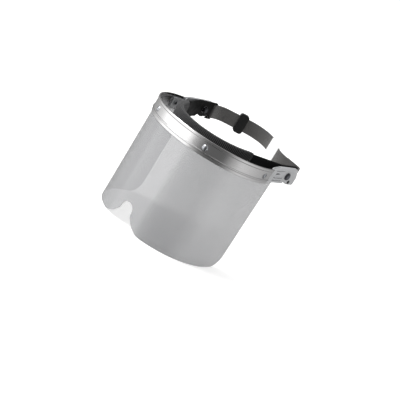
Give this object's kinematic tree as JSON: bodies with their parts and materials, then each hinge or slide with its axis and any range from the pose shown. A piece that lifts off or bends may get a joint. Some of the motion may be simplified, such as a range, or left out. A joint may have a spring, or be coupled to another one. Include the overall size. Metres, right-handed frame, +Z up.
{
  "type": "face shield",
  "caption": "Curved tinted face visor on a polished brow band that swings up on a padded headband with an elastic rear strap and slider.",
  "frame": {"origin": "middle of the object's overall box in plan, at the height of the visor's lower edge", "axes": "+Z up, the wearer looks along -Y, +X is the wearer's left"},
  "size_m": [0.1958, 0.2538, 0.1769],
  "materials": {
    "band": "polished, folded sheet",
    "visor": "clear sheet with a light smoke-grey tint",
    "strip": "plain mill finish",
    "rivet": "bright domed heads",
    "washer": "zinc plated",
    "bracket": "light blue-grey moulding, fine texture",
    "stop": "black nylon",
    "stud": "bright",
    "pad": "black ribbed towelling over foam",
    "headband": "black moulding, smooth",
    "pivot": "dark grey knob head",
    "rubbing": "waxy black",
    "nut": "blackened",
    "strap": "charcoal woven elastic webbing",
    "label": "plain white woven tape, blank",
    "slider": "black moulding, polished"
  },
  "bodies": {
    "headgear": {"headband": "headband", "sweat_pad": "pad", "pad_studs": "stud", "pivot_screw_left": "pivot", "pivot_screw_right": "pivot", "friction_washer_left": "rubbing", "friction_washer_right": "rubbing", "spring_washer_left": "washer", "spring_washer_right": "washer", "pivot_nut_left": "nut", "pivot_nut_right": "nut", "rear_strap": "strap", "label_sleeve": "label"},
    "visor_unit": {"frame_band": "band", "visor_sheet": "visor", "inner_strip": "strip", "front_rivets": "rivet", "rear_rivets": "rivet", "rivet_washers": "washer", "bracket_left": "bracket", "bracket_right": "bracket", "stop_pins": "stop"},
    "slider": {"strap_slider": "slider"}
  },
  "joints": [
    {"name": "visor_tilt", "type": "hinge", "parent": "headgear", "child": "visor_unit", "pos_m": [0, 0.0346, 0.1581], "axis": [-1, 0, 0], "range_deg": [0, 90]},
    {"name": "slider_adjust", "type": "slide", "parent": "headgear", "child": "slider", "axis": [0.6691, 0.7424, 0.0324], "range_m": [-0.014, 0.004]}
  ]
}
